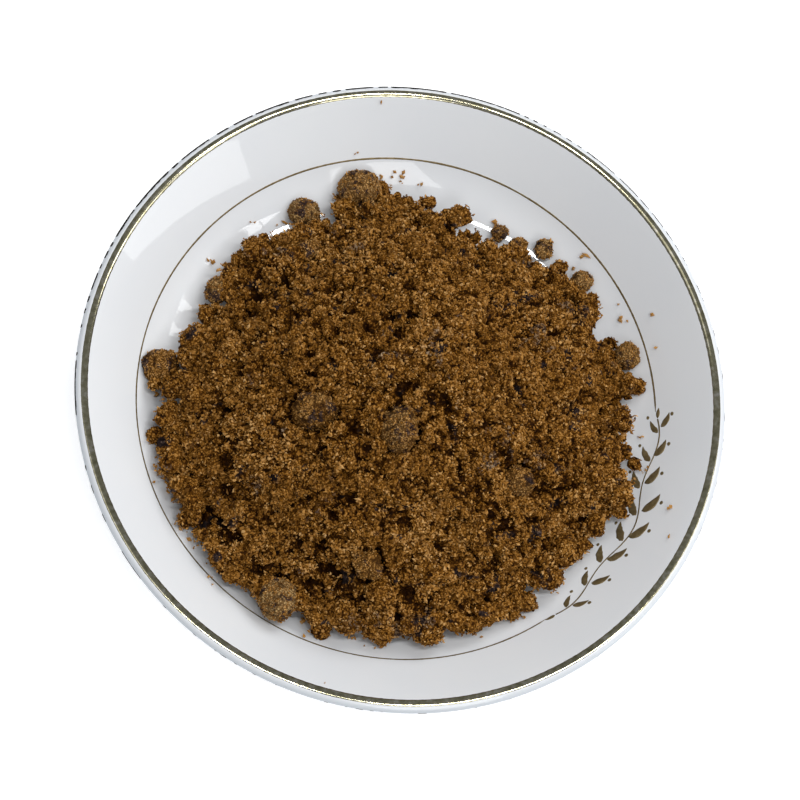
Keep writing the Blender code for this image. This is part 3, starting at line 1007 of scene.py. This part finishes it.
def make_lump(node, finish):
    """A caked lump with the CAD lump's form and a dusty, pitted surface."""
    low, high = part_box(node)
    centre = (low + high) / 2
    wide = max(high - low)
    directions, ball = icosphere(5 if wide >= BIG_LUMP else 4)
    tree = tree_of(node)
    reach = np.array([(tree.ray_cast(centre, Vector(d))[0] - centre).length
                      for d in directions])
    edges = np.concatenate([ball[:, [0, 1]], ball[:, [1, 2]], ball[:, [2, 0]]])
    near = np.bincount(edges[:, 0], minlength=len(reach))
    for _ in range(6):
        mean = np.bincount(edges[:, 0], reach[edges[:, 1]], len(reach)) / near
        reach = 0.4 * reach + 0.6 * mean
    verts = np.array(centre) + directions * reach[:, None]
    swell, _ = clods(verts, 3.0 * MM, 12)
    first, _ = clods(verts, 0.95 * MM, 13)
    pits = smooth_step(waves(verts, 1.7 * MM, 14), 0.25, 0.55)
    # The rise, by which the finish paints shade, is low between fine clods and in the pits, and on
    # loose lumps in the pores too.
    rise = np.clip(dome(first) - 0.8 * pits, 0.0, 1.0)
    swell = 0.7 + 0.5 * waves(verts, 4.5 * MM, 21) - 0.8 * swell
    push = 0.35 * MM * (rise - 0.7) + MM * swell
    if node in LOOSE:
        relief, painted_pore_shade = crumbly(verts)
        push += 0.6 * (relief - relief.mean())
        rise *= 0.4 + 0.6 * painted_pore_shade
    verts = verts + directions * push[:, None] * (1.0, 1.0, 0.45)
    verts = clear_of_dish(verts)
    lump = add_piece("caked_" + node, verts, ball, finish, "caked_sugar")
    add_values(lump.data, "rise", rise)
    dust = DUSTY.get(node, 0.0) + 0.3 * waves(verts, 6 * MM, 23)
    add_values(lump.data, "dust", np.clip(dust, 0.0, 1.0))
    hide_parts(node)
    return verts, ball, rise


# ---- grains ----
GRAIN_CORNERS = np.array([(1, 0, 0), (0, 1, 0), (-1, 0, 0), (0, -1, 0), (0, 0, 1), (0, 0, -1)])
GRAIN_FACES = np.array([(k, (k + 1) % 4, 4) for k in range(4)]
                       + [((k + 1) % 4, k, 5) for k in range(4)])
GRAIN_SHAPE = (1.35, 0.85, 0.75)  # a grain's proportions
GRAIN_SIZE = 0.58 * MM
CORE_GRAINS, CRUMB_GRAINS, LUMP_GRAINS = 42000, 20000, 5200
WISPS = 1600                     # short chains of grains that stick out
WISP_GRAINS = (2, 5)             # fewest and most in a chain
WISP_STEP = 0.42 * MM


def strewn(surfaces, count, rng):
    """Places, normals and rises of about count points over triangles that face up."""
    verts, faces, rise = surfaces
    a, b, c = (verts[faces[:, k]] for k in range(3))
    cross = np.cross(b - a, c - a)
    area = np.linalg.norm(cross, axis=1) / 2
    normals = cross / np.maximum(2 * area, 1e-15)[:, None]
    height = rise[faces].mean(1)
    # They cling together in threads, and few lie down in the pores.
    threads = waves(a, 2.0 * MM, 19) + 0.5 * waves(a, 1.0 * MM, 20)
    weight = (area * (normals[:, 2] > -0.3) * (0.05 + 0.95 * smooth_step(height, 0.15, 0.5))
              * (0.10 + 0.90 * np.exp(-(threads / 0.3) ** 2)))
    face = rng.choice(len(faces), count, p=weight / weight.sum())
    u, v = rng.random(count), rng.random(count)
    fold = u + v > 1.0
    u, v = np.where(fold, 1.0 - u, u), np.where(fold, 1.0 - v, v)
    at = a[face] + (b - a)[face] * u[:, None] + (c - a)[face] * v[:, None]
    return at, normals[face], height[face]


def wisps(surfaces, rng):
    """The same for grains in short chains that reach out from a surface."""
    at, ahead, _ = strewn(surfaces, WISPS, rng)
    length = rng.integers(WISP_GRAINS[0], WISP_GRAINS[1] + 1, WISPS)
    places, ways = [], []
    for link in range(WISP_GRAINS[1]):
        ahead = unit(ahead + rng.normal(0.0, 0.5, ahead.shape))
        at = at + WISP_STEP * ahead
        places.append(at[length > link])
        ways.append(ahead[length > link])
    places, ways = np.concatenate(places), np.concatenate(ways)
    # Grains that stick out get a high rise, so their tone is painted lighter: painted light.
    return places, ways, np.full(len(places), 0.8)


def turned_at_random(count, rng):
    """Random rotation matrices."""
    q = rng.normal(size=(count, 4))
    w, x, y, z = unit(q).T
    return np.stack([1 - 2 * (y * y + z * z), 2 * (x * y - z * w), 2 * (x * z + y * w),
                     2 * (x * y + z * w), 1 - 2 * (x * x + z * z), 2 * (y * z - x * w),
                     2 * (x * z - y * w), 2 * (y * z + x * w), 1 - 2 * (x * x + y * y)],
                    1).reshape(-1, 3, 3)


def grain_points(centres, sizes, rng):
    """Corners of uneven blocks of the given sizes, each turned at random."""
    count = len(centres)
    corners = GRAIN_CORNERS[None] + rng.uniform(-0.32, 0.32, (count, len(GRAIN_CORNERS), 3))
    corners = corners * GRAIN_SHAPE * np.exp(rng.normal(0, 0.18, (count, 1, 3)))
    turns = turned_at_random(count, rng)
    shape = np.einsum("nij,nkj->nki", turns, corners) * (0.5 * sizes)[:, None, None]
    return (centres[:, None] + shape).reshape(-1, 3)


def add_grains(name, centres, sizes, tones, ashes, finish, rng):
    """A piece of loose grains, with a tone and an ash for each one."""
    verts = clear_of_dish(grain_points(centres, sizes, rng))
    corners = len(GRAIN_CORNERS)
    starts = corners * np.arange(len(centres))
    faces = (GRAIN_FACES[None] + starts[:, None, None]).reshape(-1, 3)
    grains = add_piece(name, verts, faces, finish, "brown_sugar", smooth=False)
    add_values(grains.data, "tone", np.repeat(tones, corners))
    add_values(grains.data, "ash", np.repeat(ashes, corners))
    # On the map, each grain lies at its own tone and ash.
    spot = 0.01 + 0.98 * np.stack([tones, ashes], 1)
    corner = 0.002 * np.array([(-1, -1), (1, -1), (0, 1)])
    places = spot[:, None, None] + corner[None, None] + np.zeros((1, len(GRAIN_FACES), 1, 1))
    add_map(grains.data, np.clip(places, 0.001, 0.999).reshape(-1, 2))
    return grains


def grain_finishes():
    """Finishes by kind, palest last."""
    warm = {
        "dark": ((0.0, (0.078, 0.029, 0.0025)), (0.5, (0.145, 0.058, 0.0067)),
                 (1.0, (0.212, 0.089, 0.0134))),
        "brown": ((0.0, (0.212, 0.089, 0.0134)), (0.5, (0.28, 0.124, 0.0212)),
                  (1.0, (0.35, 0.163, 0.034))),
        "pale": ((0.0, (0.35, 0.163, 0.034)), (0.6, (0.45, 0.228, 0.060)),
                 (1.0, (0.58, 0.34, 0.125))),
    }
    ashen = {
        "dark": ((0.0, (0.020, 0.012, 0.010)), (1.0, (0.055, 0.034, 0.026))),
        "brown": ((0.0, (0.06, 0.037, 0.028)), (1.0, (0.12, 0.076, 0.050))),
        "pale": ((0.0, (0.14, 0.09, 0.058)), (1.0, (0.30, 0.21, 0.13))),
    }
    gloss = {"dark": 0.42, "brown": 0.5, "pale": 0.55}
    return {kind: make_grain("grain_" + kind, warm[kind], ashen[kind], gloss[kind])
            for kind in warm}


def make_grains(finishes, core, crumbs, lumps):
    """Grains over every surface of sugar, in three kinds by tone."""
    rng = np.random.default_rng(31)
    covers = [strewn(lumps, LUMP_GRAINS, rng), strewn(core, CORE_GRAINS, rng),
              strewn(crumbs, CRUMB_GRAINS, rng), wisps(crumbs, rng)]
    at, normals, rise = (np.concatenate(column) for column in zip(*covers))
    on_lump = np.arange(len(at)) < LUMP_GRAINS
    sizes = GRAIN_SIZE * np.clip(rng.lognormal(0.0, 0.27, len(at)), 0.55, 2.0)
    sizes *= np.where(on_lump, 0.68, 1.0)
    centres = at + normals * (sizes * rng.uniform(0.05, 0.5, len(at)))[:, None]
    patch = waves(at, 9 * MM, 15)
    # A grain's tone is painted lighter on rises and darker low down: painted light and shade,
    # beside its own random tone.
    tone = (0.5 + 0.20 * rng.normal(size=len(at)) + 0.14 * patch
            + 0.16 * waves(at, 2.5 * MM, 16) + 0.25 * (rise - 0.5))
    ash = smooth_step(waves(at, 7 * MM, 17) + 0.5 * waves(at, 2.2 * MM, 18), 0.62, 0.95)
    ash = np.clip(np.where(on_lump, 0.1 + 0.4 * ash, 0.85 * ash)
                  + rng.normal(0, 0.12, len(at)), 0, 1)
    ranks = np.argsort(np.argsort(tone)) / len(tone)
    for k, (kind, finish) in enumerate(finishes.items()):
        mine = (ranks >= k / 3) & (ranks < (k + 1) / 3)
        add_grains("grains_" + kind, centres[mine], sizes[mine], ranks[mine] * 3 - k,
                   ash[mine], finish, rng)


# Grains that have strayed on to the dish: bearing in degrees, distance from the
# axis in millimetres, how many lie together.
STRAYS = (
    (94, 85.4, 1), (99, 74.4, 2), (88, 69.6, 4), (90, 69.3, 2), (93, 68.8, 3), (88, 67.5, 2),
    (83, 67.5, 2), (127, 67.4, 2), (142, 67.3, 3), (120, 62.6, 2), (122, 63.5, 1),
    (62, 63.9, 3), (40, 71.6, 2), (39, 67.3, 3), (25, 71.0, 2), (21, 71.9, 2), (22, 70.1, 3),
    (20, 77.7, 1), (13, 75.6, 1), (-7, 70.1, 3), (-15, 73.3, 2), (-18, 70.2, 2),
    (-23, 81.1, 2), (-29, 83.8, 1), (-105, 84.7, 1), (-72, 70.1, 2), (-61, 69.7, 1),
    (-112, 72.2, 1), (-160, 72.2, 1), (-162, 70.3, 2), (-145, 70.6, 2), (-147, 71.0, 1),
)
EDGE_STRAYS = 150
STRAY_SIZE = 1.0 * MM


def make_strays(finish, outline):
    rng = np.random.default_rng(41)
    spots = []
    for bearing, radius, count in STRAYS:
        for _ in range(count):
            spots.append((math.radians(bearing) + rng.normal(0, 0.007),
                          radius * MM + rng.normal(0, 0.45 * MM)))
    for _ in range(EDGE_STRAYS):
        turn = rng.uniform(0, 2 * math.pi)
        reach = read_outline(outline, np.array([turn]))[0] + abs(rng.normal(0, 1.2 * MM))
        x, y = from_centre(reach, turn)
        spots.append((math.atan2(y, x), math.hypot(x, y)))
    bearing, radius = np.array(spots).T
    sizes = STRAY_SIZE * np.clip(rng.lognormal(0.0, 0.3, len(spots)), 0.5, 1.7)
    centres = wall_point(radius, bearing, 0.35 * sizes + BED_GAP)
    tones = rng.uniform(0.0, 0.8, len(spots))
    add_grains("grains_stray", centres, sizes, tones, rng.uniform(0, 0.2, len(spots)), finish, rng)


# ---- camera, lights and floor ----
def heading(azimuth, elevation):
    """The direction at an azimuth from +X towards +Y and an elevation, in degrees."""
    a, e = math.radians(azimuth), math.radians(elevation)
    return Vector((math.cos(a) * math.cos(e), math.sin(a) * math.cos(e), math.sin(e)))


CAMERA_AIM = Vector((0.0, 0.0, 30.0 * MM))
CAMERA_FROM = (-114.14, 70.85)   # azimuth and elevation of the camera from its aim
CAMERA_AWAY = 650.0 * MM
CAMERA_ROLL = math.radians(24.14)
CAMERA_LENS = 106.8              # mm, on a sensor 36 mm wide
CAMERA_SHIFT = (-0.0081, -0.01845)


def make_camera():
    data = bpy.data.cameras.new("camera")
    data.lens = CAMERA_LENS
    data.sensor_width = 36.0
    data.shift_x, data.shift_y = CAMERA_SHIFT
    camera = bpy.data.objects.new("camera", data)
    bpy.context.scene.collection.objects.link(camera)
    back = heading(*CAMERA_FROM)
    level = back.to_track_quat("Z", "Y").to_matrix().to_4x4()
    place = Matrix.Translation(CAMERA_AIM + back * CAMERA_AWAY)
    camera.matrix_world = place @ level @ Matrix.Rotation(CAMERA_ROLL, 4, "Z")
    bpy.context.scene.camera = camera


def area_light(name, azimuth, elevation, away, size, power, turn=0.0, mirrored=True):
    """A soft light that faces the dish, turned about its own axis by some degrees."""
    data = bpy.data.lights.new(name, "AREA")
    data.shape = "RECTANGLE"
    data.size, data.size_y = size
    data.energy = power
    light = bpy.data.objects.new(name, data)
    bpy.context.scene.collection.objects.link(light)
    towards = heading(azimuth, elevation)
    facing = towards.to_track_quat("Z", "Y").to_matrix().to_4x4()
    spin = Matrix.Rotation(math.radians(turn), 4, "Z")
    light.matrix_world = Matrix.Translation(towards * away) @ facing @ spin
    light.visible_glossy = mirrored


def make_lights():
    area_light("key", 53, 40, 1.3, (0.8, 0.8), 7.6, mirrored=False)
    area_light("fill", -160, 45, 1.2, (0.6, 0.6), 1.25, mirrored=False)
    area_light("front_window", -74, 46, 1.0, (0.40, 0.5), 1.85)
    area_light("low_window", -22, 15, 1.0, (0.6, 0.28), 1.2)
    # Thin strips overhead, which show as bright slivers in the glaze.
    area_light("strip_right", -8, 75, 1.0, (0.07, 0.33), 2.2, turn=8)
    area_light("strip_left", -148, 84.5, 1.0, (0.07, 0.20), 1.3, turn=148)
    # Small panes, which show as bright patches in it.
    area_light("pane_left", -22.5, 52.5, 1.0, (0.15, 0.20), 0.62, turn=25)
    area_light("pane_middle", -10, 45, 1.0, (0.10, 0.15), 0.23)
    area_light("pane_right", 3, 45.5, 1.0, (0.21, 0.25), 0.75)
    # A pale wall, which only the gilding mirrors brightly enough to show.
    area_light("wall_above", 170, 73, 1.0, (0.34, 0.34), 0.33)
    world = bpy.data.worlds.new("room")
    bpy.context.scene.world = world
    world.use_nodes = True
    room = world.node_tree.nodes["Background"]
    room.inputs["Color"].default_value = (0.93, 0.96, 1.0, 1.0)
    room.inputs["Strength"].default_value = 0.23


def make_floor():
    mesh = bpy.data.meshes.new("floor")
    half, z = 3.0, CAD_BOX[0].z
    mesh.from_pydata([(-half, -half, z), (half, -half, z), (half, half, z), (-half, half, z)],
                     [], [(0, 1, 2, 3)])
    floor = bpy.data.objects.new("floor", mesh)
    bpy.context.scene.collection.objects.link(floor)
    finish = Finish("floor", roughness=0.9, base_color=(0.95, 0.95, 0.95, 1.0),
                    emission_strength=0.46)
    finish.shader.inputs["Emission Color"].default_value = (1.0, 1.0, 1.0, 1.0)
    mesh.materials.append(finish.material)


def make_sugar():
    heap = tree_of("sugar_heap")
    heights = blurred(heap_heights(heap), 1.0 * MM)
    outline = ragged_edge(outline_table(heap))
    packed = make_core_sugar()
    core = make_core(packed, heights, outline)
    crumbs = make_crumbs(packed, heights, outline)
    caked = make_caked_sugar()
    nodes = [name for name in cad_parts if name.startswith(("lump", "crumb"))]
    lumps = [make_lump(node, caked) for node in sorted(nodes)]
    rises = np.concatenate([rise for _, _, rise in lumps])
    all_lumps = joined([(verts, faces) for verts, faces, _ in lumps]) + (rises,)
    finishes = grain_finishes()
    make_grains(finishes, core, crumbs, all_lumps)
    make_strays(finishes["pale"], outline)


def main():
    make_camera()
    make_lights()
    make_floor()
    make_dish(make_porcelain())
    make_band(make_gilt("gilt_band", (0.27, 0.25, 0.145), (0.49, 0.455, 0.31),
                        (0.80, 0.76, 0.67), 0.13))
    make_hairline(make_gilt("gilt_edge", (0.010, 0.009, 0.009), (0.030, 0.027, 0.025),
                            (0.14, 0.13, 0.12), 0.5, metallic=0.0))
    fine = make_gilt("gilt_line", (0.15, 0.11, 0.05), (0.22, 0.165, 0.08), (0.32, 0.25, 0.13),
                     0.35, metallic=0.5)
    make_line(fine)
    make_ornament(fine)
    make_sugar()
    bpy.context.scene.view_settings.view_transform = "Standard"


main()
